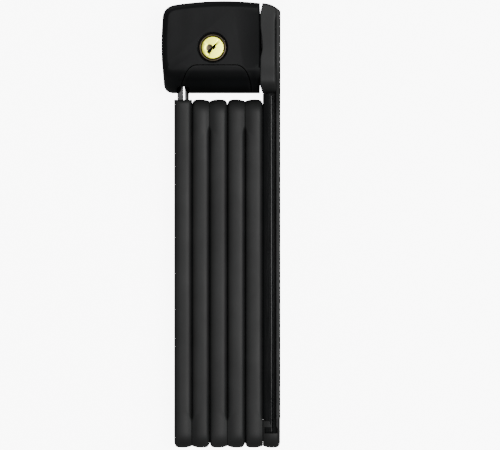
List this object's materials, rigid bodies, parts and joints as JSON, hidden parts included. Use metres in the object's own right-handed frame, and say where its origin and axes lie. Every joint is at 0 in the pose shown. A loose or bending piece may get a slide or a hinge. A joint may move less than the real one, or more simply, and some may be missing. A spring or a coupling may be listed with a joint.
{
  "type": "folding bike lock",
  "caption": "Folding bicycle lock: coated steel bars riveted in a zigzag, a swivelling lock body with a key cylinder, and a long last bar whose head the bolt locks into.",
  "frame": {"origin": "centre of the folded lock's footprint, on the plane that it lies on (keyhole facing up)", "axes": "+Y along the folded bars from the foot to the lock body, +X across the bars towards the long last bar, +Z out of the keyhole face"},
  "size_m": [0.0505, 0.1901, 0.026],
  "materials": {
    "shell": "fine-grained black moulding, satin",
    "coating": "soft-touch black coating, satin",
    "lacquered_steel": "glossy black lacquer",
    "steel": "hardened steel, plain",
    "polished_steel": "polished",
    "brass": "pale, finely turned",
    "bronze": "brown, satin"
  },
  "bodies": {
    "lock_body": {"housing_front": "shell", "housing_rear": "shell", "bottom_cap": "shell", "lock_case": "steel", "pivot_bush": "bronze", "case_screw_1": "steel", "case_screw_2": "steel", "cylinder_shell": "bronze", "drill_guard": "steel"},
    "plug": {"key_plug": "brass", "plug_clip": "steel", "plug_cam": "steel", "wafer_1": "brass", "wafer_2": "brass", "wafer_3": "brass", "wafer_4": "brass", "wafer_5": "brass"},
    "bolt": {"locking_bolt": "steel"},
    "bar_1": {"swivel_pin": "polished_steel", "pin_collar": "steel", "bar_1_core": "steel", "bar_1_coating": "coating", "rivet_1": "steel", "washer_1": "bronze"},
    "bar_2": {"bar_2_core": "steel", "bar_2_coating": "coating", "rivet_2": "steel", "washer_2": "bronze"},
    "bar_3": {"bar_3_core": "steel", "bar_3_coating": "coating", "rivet_3": "steel", "washer_3": "bronze"},
    "bar_4": {"bar_4_core": "steel", "bar_4_coating": "coating", "rivet_4": "steel", "washer_4": "bronze"},
    "bar_5": {"bar_5_core": "steel", "bar_5_coating": "coating", "rivet_5": "steel", "washer_5": "bronze"},
    "bar_6": {"bar_6_core": "lacquered_steel", "head_casing": "shell", "strike_bush": "steel", "side_cover": "coating", "foot_coating": "coating"}
  },
  "joints": [
    {"name": "body_swivel", "type": "hinge", "parent": "lock_body", "child": "bar_1", "pos_m": [-0.01613, 0.056, 0.013], "axis": [0, 1, 0], "range_deg": [-180, 180]},
    {"name": "hinge_1", "type": "hinge", "parent": "bar_1", "child": "bar_2", "pos_m": [-0.01235, -0.08785, 0.013], "axis": [1, 0, 0], "range_deg": [-180, 180]},
    {"name": "hinge_2", "type": "hinge", "parent": "bar_2", "child": "bar_3", "pos_m": [-0.0048, 0.04645, 0.013], "axis": [1, 0, 0], "range_deg": [-120, 120]},
    {"name": "hinge_3", "type": "hinge", "parent": "bar_3", "child": "bar_4", "pos_m": [0.00275, -0.08785, 0.013], "axis": [1, 0, 0], "range_deg": [-180, 180]},
    {"name": "hinge_4", "type": "hinge", "parent": "bar_4", "child": "bar_5", "pos_m": [0.0103, 0.04645, 0.013], "axis": [1, 0, 0], "range_deg": [-120, 120]},
    {"name": "hinge_5", "type": "hinge", "parent": "bar_5", "child": "bar_6", "pos_m": [0.01785, -0.08785, 0.013], "axis": [1, 0, 0], "range_deg": [-180, 180]},
    {"name": "plug_turn", "type": "hinge", "parent": "lock_body", "child": "plug", "pos_m": [-0.00344, 0.07516, 0.02], "axis": [0, 0, -1], "range_deg": [0, 90]},
    {"name": "bolt_slide", "type": "slide", "parent": "lock_body", "child": "bolt", "axis": [1, 0, 0], "range_m": [0, 0.007]}
  ],
  "couplings": [
    {"joint": "plug_turn", "follows": "bolt_slide", "rad_per_m": 224.4}
  ]
}
